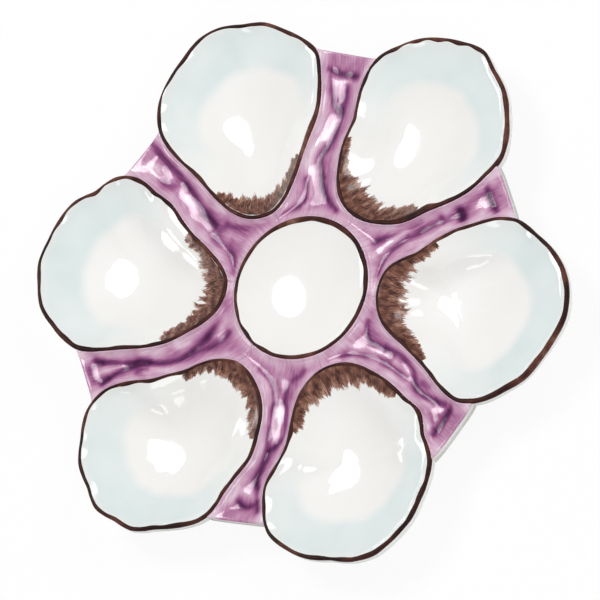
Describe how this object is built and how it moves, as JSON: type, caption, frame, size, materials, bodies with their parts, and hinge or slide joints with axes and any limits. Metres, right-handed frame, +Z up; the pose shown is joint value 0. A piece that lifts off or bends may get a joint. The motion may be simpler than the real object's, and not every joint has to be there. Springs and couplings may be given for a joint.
{
  "type": "oyster plate",
  "caption": "Ceramic oyster plate with oval wells round a round sauce well, lilac moulded webs, brown painted rims and brush marks, on a foot ring.",
  "frame": {"origin": "centre of the foot ring, on the surface that the plate stands on", "axes": "+Z up, out of the wells; +Y towards the gap between the two wells at the top of the plate; +X to the right seen from above"},
  "size_m": [0.2335, 0.2242, 0.0226],
  "materials": {
    "white_glaze": "glossy white glaze with a faint blue-green cast on the wells' shoulders",
    "web_clay": "glossy white glaze over moulded clay, seen on the webs' edges and underside",
    "lilac_glaze": "glossy translucent lilac glaze, pale on ridges and purple where it pools",
    "brown_enamel": "glossy hand-painted dark brown enamel",
    "brush_enamel": "semi-gloss feathered brown brush marks",
    "foot_clay": "bare fired clay on the foot, wiped clean of glaze"
  },
  "bodies": {
    "root": {"oyster_well_1": "white_glaze", "oyster_well_2": "white_glaze", "oyster_well_3": "white_glaze", "oyster_well_4": "white_glaze", "oyster_well_5": "white_glaze", "oyster_well_6": "white_glaze", "sauce_well": "white_glaze", "web_1": "web_clay", "web_2": "web_clay", "web_3": "web_clay", "web_4": "web_clay", "web_5": "web_clay", "web_6": "web_clay", "foot_ring": "foot_clay", "lilac_glaze_1": "lilac_glaze", "lilac_glaze_2": "lilac_glaze", "lilac_glaze_3": "lilac_glaze", "lilac_glaze_4": "lilac_glaze", "lilac_glaze_5": "lilac_glaze", "lilac_glaze_6": "lilac_glaze", "rim_line_1": "brown_enamel", "rim_line_2": "brown_enamel", "rim_line_3": "brown_enamel", "rim_line_4": "brown_enamel", "rim_line_5": "brown_enamel", "rim_line_6": "brown_enamel", "sauce_rim_line": "brown_enamel", "brush_marks_1": "brush_enamel", "brush_marks_2": "brush_enamel", "brush_marks_3": "brush_enamel", "brush_marks_4": "brush_enamel", "brush_marks_5": "brush_enamel", "brush_marks_6": "brush_enamel"}
  },
  "joints": []
}
